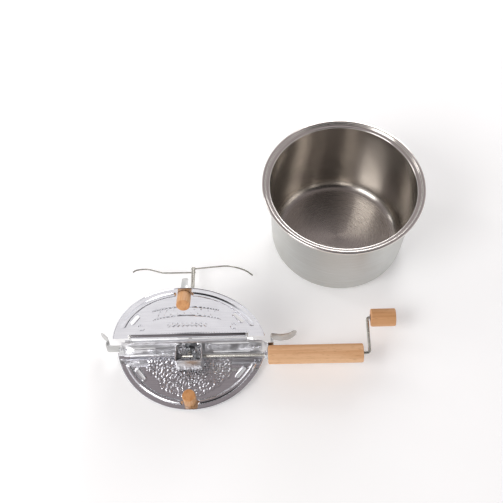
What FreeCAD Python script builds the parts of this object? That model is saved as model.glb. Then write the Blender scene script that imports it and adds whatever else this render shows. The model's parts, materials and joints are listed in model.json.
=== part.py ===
# Hand-cranked stovetop popcorn maker: a drawn pot standing on its base, and beside it the
# two-leaf lid with its crossbar, bevel gears, crank, handle and stirrer, lying on its side.
# Millimetres, +Z up, origin at the centre of the pot's base.
import FreeCAD, Part
import math
import os

os.makedirs("parts", exist_ok=True)
V = FreeCAD.Vector

# Pot
pot_height = 151.0
pot_mouth_r = 115.4         # outside of the wall where it meets the lid ledge
pot_draft = 7.8             # how much narrower the wall is at the bottom corner
pot_corner_r = 18.4
pot_wall = 1.0
ledge_width = 5.6           # ledge that the lid sits on, outside the mouth
rim_width = 6.0             # rolled rim outside the ledge
ledge_drop = 4.5            # ledge surface below the top of the rim
rim_bend_r = 1.5
rim_curl_drop = 4.0
rim_curl_r = 1.3
rim_curl_inset = 2.8        # curled edge of the rim outside the ledge

# Lid leaves
leaf_play = 3.0             # between a leaf's edge and the outside of the ledge
leaf_sheet = 0.8
leaf_hem_r = 0.9            # rolled hem round the outer edge
hem_low = 0.1               # hem's middle below the sheet's middle
hinge_offset = 26.0         # hinge lines from the middle of the crossbar
barrel_inset = 31.5         # each end of the hinge barrel from the leaf's edge
leaf_cut = 4.2              # straight edge of the sheet from the hinge line, beside the barrel
wing_gap = 5.5              # from the barrel's end to where the sheet reaches past the hinge line
leaf_wing = -2.6
bead_inset = 11.0           # bead's middle from the leaf's edge
bead_width = 5.2
bead_height = 1.8
bead_gap = 13.0             # half the gap left in the bead for the knob
bead_end = 20.0             # bead ends short of the hinge line
vent_length = 21.0
vent_width = 5.0
vent_inset = 20.0           # vent centres from the leaf's edge
vent_angle = 38.0           # vent centres round from the hinge direction
upper_rest = -18.0          # upper leaf at rest, measured from closed
lower_rest = 83.2           # lower leaf at rest, measured from closed

# Knobs on the leaves
knob_r = 10.0
knob_length = 23.0
knob_edge = 2.2
knob_inset = 14.0           # knob axis from the leaf's edge
screw_r = 1.9
screw_depth = 14.0
screw_head_r = 3.6
screw_head = 1.6

# Guide tab under the upper leaf
tab_width = 9.6
tab_sheet = 0.8
tab_drop = 33.0

# Crossbar
bar_sheet = 1.2
bar_half_gap = 6.8          # edge of the web from the hinge line
bar_z = 5.1                 # underside of the web above the hinge plane
bar_far_inset = 15.0        # far end of the web from the leaf's edge
bar_slant = 9.0
bar_neck_inset = 7.0        # where the web narrows at the handle end
bar_flange_over = 10.5      # flange beyond the end of the leaf's barrel
bar_lip = 1.5               # upturned edge along the web
neck_half_width = 12.0
bar_flange_low = 0.8
ear_sheet = 1.5
ear_wall = 1.3              # metal round the hinge wire
ear_gap = 0.6               # between a leaf's barrel and the ear beside it
rib_height = 1.1
rib_far_start = 50.0        # one broad rib towards the far end
rib_far_inset = 30.0        # its outer end from the leaf's edge
rib_far_half = 4.2
rib_near_start = 34.0       # two narrow ribs towards the handle
rib_near_inset = 26.0
rib_near_half = 2.6
rib_near_y = 12.5
wire_r = 2.4                # hinge wires
wire_head_over = 0.9        # upset head beyond the wire's radius
wire_head = 1.3
end_plate_half = 11.5
end_plate_over = 12.5       # top of the end plate above the crank axis

# Handle
handle_r = 14.6
handle_length = 143.8
handle_edge = 2.4
handle_start = 1.6          # inner end of the handle beyond the leaf's edge
tube_r = 4.5
nut_flats = 13.0
nut_height = 4.0

# Gear bracket
bracket_half = 20.4
bracket_head = 15.6         # top of the bracket above the crank axis
bracket_sheet = 1.5
bracket_depth = 26.0
bracket_foot = 11.9         # inner end of each foot
bracket_bend_r = 2.2
rivet_r = 1.5
rivet_head_r = 2.4
rivet_head = 1.1
rivet_y = 5.6
rivet_inset = 2.8           # bracket rivets from the inner end of each foot

# Bevel gears
gear_pitch_r = 9.0
gear_teeth = 12
gear_face = 4.4             # tooth length along the cone
gear_addendum = 1.05
gear_dedendum = 1.30
gear_flank = 20.0
gear_backlash = 0.40
crank_hub_r = 5.2
crank_hub_end = 16.4        # from the crossing of the two shafts
stir_hub_r = 5.6
stir_hub = 1.53             # stirrer gear's hub below its back face
gear_back = 1.5             # back face behind the tooth's outer end
gear_pin_r = 0.9

# Crank
rod_r = 2.4
crank_throw = 62.0
crank_overhang = 10.0       # crank arm beyond the handle's outer end
crank_bend_r = 5.0
crank_knob_r = 13.9
crank_knob_length = 38.4
crank_knob_gap = 5.4        # knob's inner face from the arm's centreline
crank_knob_edge = 3.0
crank_recess_r = 6.4
crank_recess = 5.0
crank_washer = 1.0
bush_r = 4.2
bush_flange_r = 5.8
bush_flange = 1.2
collar_r = 5.0
collar_width = 4.5

# Stirrer
stir_r = 3.0
stir_floor_gap = 2.2        # stirrer above the pot's floor, when the lid is on the pot
stir_top_gap = 1.8          # between the stirrer's top and the crank rod
stir_bush_r = 5.4
stir_bush_flange_r = 8.2
stir_bush_flange = 0.9
stir_bush_low = -1.2
stir_collar_r = 6.6
stir_collar_width = 4.0
arm_wire_r = 1.3
arm_inset = 11.9             # tips of the stirring wires inside the pot's wall at its base
arm_gap = 7.4               # between the two stirring wires, along the rod
# The bends of each stirring wire: part of its reach, sideways, above where it leaves the rod
long_arm_bends = [(0.5, 4.0, -1.0), (0.68, 2.0, -0.6), (0.87, -6.0, 1.0), (1.0, -14.0, 6.0)]
short_arm_bends = [(0.45, 0.5, 0.0), (0.56, 3.0, 0.0), (0.76, 12.0, 0.0), (0.93, 14.5, 3.0), (1.0, 14.0, 6.7)]

# Clips that hook under the rim
clip_sheet = 0.8
clip_width = 19.0
clip_root = 34.6            # inner end of each clip under the web, from its neck
clip_neck = 0.8             # middle of each clip's neck outside the pot's rim
clip_rivet_from_neck = (29.1, 21.6)

# Fits
running_fit = 0.06          # radial clearance of every turning joint
side_gap = 0.5              # end float beside turning pieces

# Sizes that follow from the ones above
pot_base_r = pot_mouth_r - pot_draft
ledge_r = pot_mouth_r + ledge_width
pot_rim_r = ledge_r + rim_width
leaf_r = ledge_r - leaf_play
bead_r = leaf_r - bead_inset
vent_reach = leaf_r - vent_inset
knob_reach = leaf_r - knob_inset
barrel_half = leaf_r - barrel_inset
leaf_wing_x = barrel_half + wing_gap
bar_half_width = hinge_offset - bar_half_gap
bar_left = bar_far_inset - leaf_r
bar_right = leaf_r - bar_neck_inset
bar_flange_end = barrel_half + bar_flange_over
ear_r = wire_r + ear_wall
wire_head_r = wire_r + wire_head_over
handle_x = leaf_r + handle_start
rib_far_end = leaf_r - rib_far_inset
rib_near_end = leaf_r - rib_near_inset
foot_rivet_x = bracket_foot + rivet_inset
clip_neck_x = pot_rim_r + clip_neck
clip_rivets = [clip_neck_x - gap for gap in clip_rivet_from_neck]
web_top = bar_z + bar_sheet
gear_slant = gear_pitch_r * math.sqrt(2.0)
gear_root = math.radians(45.0) - math.atan(gear_dedendum / gear_slant)
stir_hub_end = gear_slant * math.cos(gear_root) + gear_back + stir_hub
crank_z = web_top + stir_bush_flange + side_gap + stir_hub_end
bracket_top = crank_z + bracket_head
end_plate_top = crank_z + end_plate_over
stir_top = crank_z - rod_r - stir_top_gap
seat_height = pot_height - ledge_drop + leaf_hem_r + hem_low
stir_length = seat_height - pot_wall - stir_floor_gap
arm_reach = pot_base_r - arm_inset

# Where the lid lies: middle of the crossbar on the hinge plane, and its three turns
lid_place = V(-237.3, -217.9, 33.3)
lid_yaw = 0.14
lid_pitch = 5.0             # lid normal above the horizontal
lid_roll = 2.36             # handle end raised


def box(x0, x1, y0, y1, z0, z1):
    return Part.makeBox(x1 - x0, y1 - y0, z1 - z0, V(x0, y0, z0))


def rod_x(r, x0, x1, y=0.0, z=0.0):
    return Part.makeCylinder(r, x1 - x0, V(x0, y, z), V(1, 0, 0))


def rod_z(r, z0, z1, x=0.0, y=0.0):
    return Part.makeCylinder(r, z1 - z0, V(x, y, z0), V(0, 0, 1))


def offset_corners(points, gap):
    """Move each corner of an open path sideways by gap, keeping the runs parallel."""
    moved = []
    for i, point in enumerate(points):
        before = (point - points[i - 1]).normalize() if i > 0 else None
        after = (points[i + 1] - point).normalize() if i < len(points) - 1 else None
        first = before or after
        second = after or before
        n1 = V(-first.y, first.x, 0)
        n2 = V(-second.y, second.x, 0)
        moved.append(point + (n1 + n2) * (gap / (1.0 + n1.dot(n2))))
    return moved


def rounded_edges(points, radii):
    """Straight runs between points, joined by arcs of the given radii."""
    edges = []
    last = points[0]
    for i in range(1, len(points) - 1):
        a = (points[i - 1] - points[i]).normalize()
        b = (points[i + 1] - points[i]).normalize()
        half = math.acos(max(-1.0, min(1.0, a.dot(b)))) / 2.0
        reach = radii[i - 1] / math.tan(half)
        start = points[i] + a * reach
        end = points[i] + b * reach
        middle = (a + b).normalize()
        centre = points[i] + middle * (radii[i - 1] / math.sin(half))
        if (start - last).Length > 1e-6:
            edges.append(Part.LineSegment(last, start).toShape())
        edges.append(Part.Arc(start, centre - middle * radii[i - 1], end).toShape())
        last = end
    edges.append(Part.LineSegment(last, points[-1]).toShape())
    return edges


def strip_face(corners, radii, sheet):
    """Section of a bent sheet: corners run along its middle, radii are to its middle."""
    points = [V(x, y, 0) for x, y in corners]
    sides = []
    for sign in (1, -1):
        fitted = []
        for i in range(1, len(points) - 1):
            a = points[i] - points[i - 1]
            b = points[i + 1] - points[i]
            turn = 1 if a.cross(b).z > 0 else -1
            fitted.append(radii[i - 1] - turn * sign * sheet / 2.0)
        sides.append(rounded_edges(offset_corners(points, sign * sheet / 2.0), fitted))
    ends = []
    for k in (0, -1):
        first = offset_corners(points, sheet / 2.0)[k]
        second = offset_corners(points, -sheet / 2.0)[k]
        ends.append(Part.LineSegment(first, second).toShape())
    return Part.Face(Part.Wire(Part.__sortEdges__(sides[0] + sides[1] + ends)))


def turned(face):
    """Turn a face drawn as (radius, height) into a full body round Z."""
    face.rotate(V(0, 0, 0), V(1, 0, 0), 90)
    return face.revolve(V(0, 0, 0), V(0, 0, 1), 360)


def pressed(face, y0, y1):
    """Extrude a face drawn as (x, z) from y0 to y1."""
    face.rotate(V(0, 0, 0), V(1, 0, 0), 90)
    face.translate(V(0, y1, 0))
    return face.extrude(V(0, y0 - y1, 0))


def soft_cylinder(r, length, edge, both=True):
    """A wooden cylinder from z = 0 with rounded ends."""
    body = Part.makeCylinder(r, length)
    rims = [e for e in body.Edges if e.Closed and abs(e.BoundBox.ZMin - length) < 1e-6]
    if both:
        rims += [e for e in body.Edges if e.Closed and abs(e.BoundBox.ZMax) < 1e-6]
    return body.makeFillet(edge, rims)


def swept_wire(points, r, start_direction):
    """A round wire along straight or curved edges."""
    path = Part.Wire(points)
    first = path.Vertexes[0].Point
    circle = Part.Wire(Part.Circle(first, start_direction, r).toShape())
    return path.makePipeShell([circle], True, False)


def rivet(x, y, low, high):
    """A shank with a domed head on each end."""
    cut = rod_z(rivet_r, low, high, x, y)
    ball_r = (rivet_head_r ** 2 + rivet_head ** 2) / (2.0 * rivet_head)
    reach = rivet_head_r + 1.0
    top = Part.makeSphere(ball_r, V(x, y, high + rivet_head - ball_r))
    top = top.common(box(x - reach, x + reach, y - reach, y + reach, high, high + rivet_head + 1.0))
    foot = Part.makeSphere(ball_r, V(x, y, low - rivet_head + ball_r))
    foot = foot.common(box(x - reach, x + reach, y - reach, y + reach, low - rivet_head - 1.0, low))
    return cut.fuse([top, foot]).removeSplitter()


# ---- the pot

def pot_body():
    half = pot_wall / 2.0
    ledge_mid = pot_height - ledge_drop - half
    corners = [
        (0.0, half),
        (pot_base_r - half, half),
        (pot_mouth_r - half, ledge_mid),
        (ledge_r + half, ledge_mid),
        (ledge_r + half, pot_height - half),
        (pot_rim_r - half, pot_height - half),
        (pot_rim_r - half, pot_height - rim_curl_drop),
        (ledge_r + rim_curl_inset, pot_height - rim_curl_drop),
    ]
    radii = [pot_corner_r - half] + [rim_bend_r] * 4 + [rim_curl_r]
    return turned(strip_face(corners, radii, pot_wall))


# ---- the leaves, each drawn closed with its hinge line on the X axis and its rim towards +Y

def leaf_outline(r, edge):
    """Flat region of the leaf inside radius r, with wings past the hinge line at both ends."""
    disc = Part.makeCylinder(r, leaf_sheet, V(0, -hinge_offset, -leaf_sheet / 2.0))
    wings = [box(min(end * leaf_wing_x, end * r), max(end * leaf_wing_x, end * r),
                 leaf_wing, r, -leaf_sheet, leaf_sheet) for end in (-1, 1)]
    return disc.common(box(-r, r, edge, r, -leaf_sheet, leaf_sheet).fuse(wings))


def leaf_bead():
    """Raised bead that follows the rim on both sides of the knob."""
    ball = (bead_height ** 2 + (bead_width / 2.0) ** 2) / (2.0 * bead_height)
    top = leaf_sheet / 2.0 + bead_height
    ring = Part.makeTorus(bead_r, ball, V(0, -hinge_offset, top - ball))
    size = leaf_r
    keep = box(-size, size, bead_end, size, 0.0, top + 1.0)
    keep = keep.cut(box(-bead_gap, bead_gap, 0.0, size, -1.0, top + 2.0))
    return ring.common(keep)


def vent_slot(side):
    """Oval vent, its long side lying along the bead."""
    slot = box(-vent_length / 2.0 + vent_width / 2.0, vent_length / 2.0 - vent_width / 2.0,
               -vent_width / 2.0, vent_width / 2.0, -2.0, 2.0)
    for end in (-1, 1):
        slot = slot.fuse(rod_z(vent_width / 2.0, -2.0, 2.0, end * (vent_length - vent_width) / 2.0))
    angle = math.radians(vent_angle)
    slot.rotate(V(0, 0, 0), V(0, 0, 1), side * (vent_angle - 90.0))
    across = side * vent_reach * math.cos(angle)
    slot.translate(V(across, vent_reach * math.sin(angle) - hinge_offset, 0))
    return slot


def half_lid():
    hem_path_r = leaf_r - leaf_hem_r
    sheet = leaf_outline(hem_path_r, leaf_cut)
    hem = Part.makeTorus(hem_path_r, leaf_hem_r, V(0, -hinge_offset, -hem_low))
    hem = hem.common(box(-leaf_r, leaf_r, leaf_wing, leaf_r, -3.0, 3.0))
    apron = box(-barrel_half, barrel_half, wire_r + 0.4, leaf_cut + 1.0,
                -leaf_sheet / 2.0, leaf_sheet / 2.0)
    barrel = rod_x(wire_r + running_fit + leaf_sheet, -barrel_half, barrel_half)
    body = sheet.fuse([hem, apron, barrel, leaf_bead()])
    body = body.cut(rod_x(wire_r + running_fit, -barrel_half - 1.0, barrel_half + 1.0))
    for side in (-1, 1):
        body = body.cut(vent_slot(side))
    body = body.cut(rod_z(screw_r, -3.0, 3.0, 0.0, knob_reach - hinge_offset))
    return body.removeSplitter()


def lid_knob():
    knob = soft_cylinder(knob_r, knob_length, knob_edge, both=False)
    knob = knob.cut(rod_z(screw_r, -1.0, screw_depth))
    knob.translate(V(0, knob_reach - hinge_offset, leaf_sheet / 2.0))
    return knob


def knob_screw(under):
    """Screw through the sheet into the knob, its head below a stack under the sheet."""
    low = -leaf_sheet / 2.0 - under
    shank = rod_z(screw_r, low - 0.2, leaf_sheet / 2.0 + screw_depth)
    head = Part.makeCone(screw_head_r - 0.8, screw_head_r, screw_head, V(0, 0, low - screw_head))
    slot = box(-screw_head_r - 1.0, screw_head_r + 1.0, -0.4, 0.4,
               low - screw_head - 0.1, low - screw_head + 0.7)
    screw = shank.fuse(head).cut(slot).removeSplitter()
    screw.translate(V(0, knob_reach - hinge_offset, 0))
    return screw


def guide_tab():
    """Bent strip under the knob that drops just inside the pot's wall."""
    top = -(leaf_sheet + tab_sheet) / 2.0
    seat = knob_reach - hinge_offset
    corners = [(seat - 7.0, top), (seat + 7.6, top)]
    corners += [(seat + 8.2, -tab_drop * 0.38), (seat + 6.4, -tab_drop)]
    strip = pressed(strip_face(corners, [1.6, 4.0], tab_sheet), -tab_width / 2.0, tab_width / 2.0)
    ends = [e for e in strip.Edges if abs(e.BoundBox.ZMax + tab_drop) < 1.0 and e.BoundBox.YLength < 1e-6]
    strip = strip.makeFillet(tab_width * 0.42, ends)
    strip.rotate(V(0, 0, 0), V(0, 0, 1), 90)
    return strip.cut(rod_z(screw_r, -4.0, 4.0, 0.0, seat)).removeSplitter()


# ---- the crossbar and what is fixed to it

def web_outline():
    """Flat web: slanted at the far end, narrowed at the handle end."""
    w = bar_half_width
    points = [
        V(bar_left, w, bar_z), V(bar_right, w, bar_z),
        V(bar_right + 5.0, neck_half_width, bar_z),
        V(handle_x - bar_sheet, neck_half_width, bar_z),
        V(handle_x - bar_sheet, -neck_half_width, bar_z),
        V(bar_right + 5.0, -neck_half_width, bar_z),
        V(bar_right, -w, bar_z), V(bar_left - bar_slant, -w, bar_z),
    ]
    face = Part.Face(Part.makePolygon(points + points[:1]))
    return face.extrude(V(0, 0, bar_sheet))


def bar_flange(side):
    """Side flange turned down from the web, with an ear at each end for the hinge wire."""
    edge = min(side * bar_half_width, side * (bar_half_width - bar_sheet))
    wall = box(-bar_flange_end, bar_flange_end, edge, edge + bar_sheet, bar_flange_low, bar_z + 0.5)
    lip = box(bar_left, bar_right, edge, edge + bar_sheet, web_top - 0.3, web_top + bar_lip)
    pieces = [wall, lip]
    for end in (-1, 1):
        inner = end * (barrel_half + ear_gap)
        x0 = min(inner, inner + end * ear_sheet)
        ear = rod_x(ear_r, x0, x0 + ear_sheet, side * hinge_offset, 0.0)
        near = side * (bar_half_width - 0.2)
        far = side * (hinge_offset + 0.5)
        arm = box(x0, x0 + ear_sheet, min(near, far), max(near, far), -ear_r * 0.55, ear_r)
        pieces += [ear, arm]
    return pieces


def web_rib(x0, x1, y, half):
    """Long raised rib pressed into the web, with round ends."""
    radius = (rib_height ** 2 + half ** 2) / (2.0 * rib_height)
    top = web_top + rib_height
    bar = rod_x(radius, x0 + half, x1 - half, y, top - radius)
    for x in (x0 + half, x1 - half):
        bar = bar.fuse(Part.makeSphere(radius, V(x, y, top - radius)))
    return bar.common(box(x0 - 5.0, x1 + 5.0, y - half - 1.0, y + half + 1.0, bar_z + 0.3, top + 1.0))


def crossbar():
    pieces = bar_flange(1) + bar_flange(-1)
    plate = box(handle_x - bar_sheet, handle_x, -end_plate_half, end_plate_half, bar_z, crank_z)
    crown = rod_x(end_plate_half, handle_x - bar_sheet, handle_x, 0.0, end_plate_top - end_plate_half)
    pieces += [plate, crown]
    pieces += [web_rib(-rib_far_end, -rib_far_start, 0.0, rib_far_half)]
    pieces += [web_rib(rib_near_start, rib_near_end, side * rib_near_y, rib_near_half) for side in (-1, 1)]
    body = web_outline().fuse(pieces)
    for side in (-1, 1):
        body = body.cut(rod_x(wire_r, -bar_flange_end, bar_flange_end, side * hinge_offset, 0.0))
        for y in (-rivet_y, rivet_y):
            body = body.cut(rod_z(rivet_r, 0.0, bar_z + 9.0, side * foot_rivet_x, y))
        for x in clip_rivets:
            body = body.cut(rod_z(rivet_r, 0.0, bar_z + 9.0, side * x))
    body = body.cut(rod_z(stir_bush_r, -5.0, 12.0))
    body = body.cut(rod_x(tube_r, handle_x - 6.0, handle_x + 1.0, 0.0, crank_z))
    return body.removeSplitter()


def hinge_wires():
    wires = []
    outside = barrel_half + ear_gap + ear_sheet
    for side in (-1, 1):
        y = side * hinge_offset
        wire = rod_x(wire_r, -outside - wire_head, outside + wire_head, y)
        for end in (-1, 1):
            x0 = min(end * outside, end * (outside + wire_head))
            wire = wire.fuse(rod_x(wire_head_r, x0, x0 + wire_head, y))
        wires.append(wire.removeSplitter())
    return Part.makeCompound(wires)


def gear_bracket():
    low = web_top + bracket_sheet / 2.0
    side = bracket_half - bracket_sheet / 2.0
    top = bracket_top - bracket_sheet / 2.0
    corners = [(-bracket_foot, low), (-side, low), (-side, top)]
    corners += [(-x, z) for x, z in reversed(corners)]
    face = strip_face(corners, [bracket_bend_r] * 4, bracket_sheet)
    body = pressed(face, -bracket_depth / 2.0, bracket_depth / 2.0)
    body = body.cut(rod_x(bush_r, -bracket_half - 1.0, bracket_half + 1.0, 0.0, crank_z))
    for end in (-1, 1):
        for y in (-rivet_y, rivet_y):
            body = body.cut(rod_z(rivet_r, 0.0, bar_z + 9.0, end * foot_rivet_x, y))
    return body.removeSplitter()


def bracket_rivets():
    high = web_top + bracket_sheet
    corners = [(sx * foot_rivet_x, sy * rivet_y) for sx in (-1, 1) for sy in (-1, 1)]
    return Part.makeCompound([rivet(x, y, bar_z, high) for x, y in corners])


def crank_bushings():
    """A flanged bush in each leg of the bracket."""
    bushes = []
    for end in (-1, 1):
        inner = end * (bracket_half - bracket_sheet)
        flange = end * (bracket_half - bracket_sheet - bush_flange)
        outer = end * (bracket_half + 0.6)
        body = rod_x(bush_r, min(inner, outer), max(inner, outer), 0.0, crank_z)
        body = body.fuse(rod_x(bush_flange_r, min(flange, inner), max(flange, inner), 0.0, crank_z))
        body = body.cut(rod_x(rod_r + running_fit, -40.0, 40.0, 0.0, crank_z))
        bushes.append(body.removeSplitter())
    return Part.makeCompound(bushes)


def rod_bushing():
    body = rod_z(stir_bush_r, stir_bush_low, web_top)
    body = body.fuse(rod_z(stir_bush_flange_r, web_top, web_top + stir_bush_flange))
    return body.cut(rod_z(stir_r + running_fit, -10.0, 20.0)).removeSplitter()


def handle():
    body = soft_cylinder(handle_r, handle_length, handle_edge)
    body = body.cut(rod_z(tube_r, -1.0, handle_length + 1.0))
    body.rotate(V(0, 0, 0), V(0, 1, 0), 90)
    body.translate(V(handle_x, 0, crank_z))
    return body


def handle_tube():
    """Tube that ties the handle to the end plate and guides the crank rod."""
    start = handle_x - bar_sheet - nut_height - 0.8
    body = rod_x(tube_r, start, handle_x + handle_length, 0.0, crank_z)
    return body.cut(rod_x(rod_r + running_fit, start - 1.0, handle_x + handle_length + 1.0, 0.0, crank_z))


def tube_nut():
    reach = nut_flats / math.sqrt(3.0)
    end = handle_x - bar_sheet
    points = []
    for i in range(7):
        angle = math.radians(60.0 * i)
        points.append(V(end - nut_height, reach * math.sin(angle), crank_z + reach * math.cos(angle)))
    nut = Part.Face(Part.makePolygon(points)).extrude(V(nut_height, 0, 0))
    return nut.cut(rod_x(tube_r, end - nut_height - 1.0, end + 1.0, 0.0, crank_z))


def clip_strip(corners, radii, tip_r):
    """Spring strip on the +X side, drawn as (x, z) along its middle."""
    strip = pressed(strip_face(corners, radii, clip_sheet), -clip_width / 2.0, clip_width / 2.0)
    tip = corners[-1]
    near = [e for e in strip.Edges if e.BoundBox.YLength < 1e-6
            and abs(e.BoundBox.Center.x - tip[0]) < 1.0 and abs(e.BoundBox.Center.z - tip[1]) < 1.0
            and e.Length < clip_sheet * 1.2]
    strip = strip.makeFillet(tip_r, near)
    for x in clip_rivets:
        strip = strip.cut(rod_z(rivet_r, 0.0, 9.0, x))
    return strip.removeSplitter()


def handle_clip():
    z = bar_z - clip_sheet / 2.0
    n = clip_neck_x
    corners = [(n - clip_root, z), (n, z), (n, -0.6), (n - 4.0, -5.2), (n - 3.4, -12.3),
               (n + 11.4, -9.2), (n + 24.4, -11.4), (n + 35.9, -19.0)]
    return clip_strip(corners, [1.4, 1.6, 1.6, 2.0, 12.0, 12.0], 8.6)


def far_clip():
    z = bar_z - clip_sheet / 2.0
    n = clip_neck_x
    corners = [(n - clip_root, z), (n, z), (n, -0.6), (n - 3.4, -5.2), (n - 1.2, -10.4), (n + 11.4, -21.6)]
    strip = clip_strip(corners, [1.4, 1.6, 1.6, 3.0], 8.6)
    strip.rotate(V(0, 0, 0), V(0, 0, 1), 180)
    return strip


def clip_rivet_set():
    low = bar_z - clip_sheet
    high = web_top
    return Part.makeCompound([rivet(side * x, 0.0, low, high) for side in (-1, 1) for x in clip_rivets])


# ---- bevel gears, each drawn with its cone's point at the origin and its body towards +Z

def bevel_tooth(phase):
    """One straight tooth, its section shrinking towards the cone's point."""
    outer = gear_slant
    pitch_angle = math.radians(45.0)
    slope = math.tan(math.radians(gear_flank))
    width = math.pi * gear_pitch_r / gear_teeth - gear_backlash
    sections = []
    for slant in (outer - gear_face, outer):
        k = slant / outer
        corners = []
        for height, sign in ((gear_addendum, 1), (gear_addendum, -1),
                             (-gear_dedendum - 0.5, -1), (-gear_dedendum - 0.5, 1)):
            half = (width / 2.0 - height * slope) * k
            along = slant * math.sin(pitch_angle) + height * k * math.cos(pitch_angle)
            up = slant * math.cos(pitch_angle) - height * k * math.sin(pitch_angle)
            corners.append(V(along, sign * half, up))
        sections.append(Part.makePolygon(corners + corners[:1]))
    tooth = Part.makeLoft(sections, True, True)
    tooth.rotate(V(0, 0, 0), V(0, 0, 1), phase * 360.0 / gear_teeth)
    return tooth


def bevel_gear(first, hub_r, hub_end, bore_r):
    """Gear with a tooth at angle 0 when first is 0, or a gap there when first is a half."""
    outer = gear_slant
    root = gear_root
    small = outer - gear_face
    profile = [
        V(bore_r, 0, small * math.cos(root)),
        V(small * math.sin(root), 0, small * math.cos(root)),
        V(outer * math.sin(root), 0, outer * math.cos(root)),
        V(outer * math.sin(root) - 1.2, 0, outer * math.cos(root) + gear_back),
        V(hub_r, 0, outer * math.cos(root) + gear_back),
        V(hub_r, 0, hub_end),
        V(bore_r, 0, hub_end),
    ]
    blank = Part.Face(Part.makePolygon(profile + profile[:1])).revolve(V(0, 0, 0), V(0, 0, 1), 360)
    return blank.fuse([bevel_tooth(first + i) for i in range(gear_teeth)]).removeSplitter()


def crank_gear():
    gear = bevel_gear(0.0, crank_hub_r, crank_hub_end, rod_r)
    gear.rotate(V(0, 0, 0), V(0, 1, 0), 90)
    gear.translate(V(0, 0, crank_z))
    return gear.cut(crank_gear_pin()).removeSplitter()


def crank_gear_pin():
    return rod_z(gear_pin_r, crank_z - crank_hub_r, crank_z + crank_hub_r, crank_hub_end - 2.2)


def stir_gear():
    gear = bevel_gear(0.5, stir_hub_r, stir_hub_end, stir_r)
    gear.rotate(V(0, 0, 0), V(1, 0, 0), 180)
    gear.translate(V(0, 0, crank_z))
    return gear


# ---- the crank

def crank_path():
    arm_x = handle_x + handle_length + crank_overhang
    knob_z = crank_z - crank_throw
    end_x = arm_x + crank_knob_gap + crank_knob_length - 1.6
    corners = [V(-bracket_half - 1.6, 0, crank_z), V(arm_x, 0, crank_z)]
    corners += [V(arm_x, 0, knob_z), V(end_x, 0, knob_z)]
    return rounded_edges(corners, [crank_bend_r, crank_bend_r - 1.2])


def crank_rod():
    rod = swept_wire(crank_path(), rod_r, V(1, 0, 0))
    return rod.cut(crank_gear_pin())


def crank_collar():
    start = -bracket_half + bracket_sheet + bush_flange + side_gap
    body = rod_x(collar_r, start, start + collar_width, 0.0, crank_z)
    return body.cut(rod_x(rod_r, start - 1.0, start + collar_width + 1.0, 0.0, crank_z))


def knob_axis():
    arm_x = handle_x + handle_length + crank_overhang
    return arm_x + crank_knob_gap, crank_z - crank_throw


def crank_knob():
    x, z = knob_axis()
    body = soft_cylinder(crank_knob_r, crank_knob_length, crank_knob_edge)
    body = body.cut(rod_z(rod_r + running_fit, -1.0, crank_knob_length + 1.0))
    body = body.cut(rod_z(crank_recess_r, crank_knob_length - crank_recess, crank_knob_length + 1.0))
    body.rotate(V(0, 0, 0), V(0, 1, 0), 90)
    body.translate(V(x, 0, z))
    return body


def knob_washers():
    """Washer pressed on the wire at each end of the turning knob."""
    x, z = knob_axis()
    inner = x - side_gap - crank_washer
    outer = x + crank_knob_length - crank_recess + side_gap
    rings = []
    for start in (inner, outer):
        ring = rod_x(crank_recess_r - 1.2, start, start + crank_washer, 0.0, z)
        rings.append(ring.cut(rod_x(rod_r, start - 1.0, start + crank_washer + 1.0, 0.0, z)))
    return Part.makeCompound(rings)


# ---- the stirrer

def stir_rod():
    body = rod_z(stir_r, -stir_length, stir_top)
    rims = [e for e in body.Edges if e.Closed]
    body = body.makeChamfer(0.5, rims)
    for height in arm_heights():
        body = body.cut(rod_x(arm_wire_r, -stir_r - 1.0, stir_r + 1.0, 0.0, height))
    return body


def arm_heights():
    low = -stir_length + arm_wire_r + 1.0
    return (low, low + arm_gap)


def stir_wire(side, height, bends):
    """Curved stirring wire through the rod, reaching out on one side."""
    root = V(-side * stir_r, 0, height)
    points = [V(side * stir_r, 0, height)]
    points += [V(side * arm_reach * part, across, height + lift) for part, across, lift in bends]
    leaving = V(side * 30, 0, 0)
    arriving = points[-1] - points[-2]
    curve = Part.BSplineCurve()
    curve.interpolate(points, InitialTangent=leaving, FinalTangent=arriving)
    line = Part.LineSegment(root, points[0]).toShape()
    return swept_wire([line, curve.toShape()], arm_wire_r, V(side, 0, 0))


def stir_collar():
    top = stir_bush_low - side_gap
    body = rod_z(stir_collar_r, top - stir_collar_width, top)
    return body.cut(rod_z(stir_r, top - stir_collar_width - 1.0, top + 1.0))


# ---- placing the pieces

def lid_frame():
    """Placement of the lid: X along the handle, Y towards the upper leaf, Z away from the pot."""
    yaw = math.radians(lid_yaw)
    pitch = math.radians(lid_pitch)
    roll = math.radians(lid_roll)
    x = V(math.cos(yaw) * math.cos(roll), math.sin(yaw) * math.cos(roll), math.sin(roll))
    n = V(math.sin(yaw) * math.cos(pitch), -math.cos(yaw) * math.cos(pitch), math.sin(pitch))
    n = (n - x * n.dot(x)).normalize()
    y = n.cross(x)
    matrix = FreeCAD.Matrix(x.x, y.x, n.x, lid_place.x, x.y, y.y, n.y, lid_place.y,
                            x.z, y.z, n.z, lid_place.z, 0, 0, 0, 1)
    return FreeCAD.Placement(matrix)


def leaf_frame(side):
    """Placement of a leaf in the lid: side 1 is the upper leaf, side -1 the lower."""
    turn = FreeCAD.Rotation(V(0, 0, 1), 0 if side > 0 else 180)
    swing = FreeCAD.Rotation(V(1, 0, 0), upper_rest if side > 0 else -lower_rest)
    return FreeCAD.Placement(V(0, side * hinge_offset, 0), swing.multiply(turn))


def placed(shape, *frames):
    result = shape.copy()
    for frame in frames:
        result.Placement = frame.multiply(result.Placement)
    return result


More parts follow.
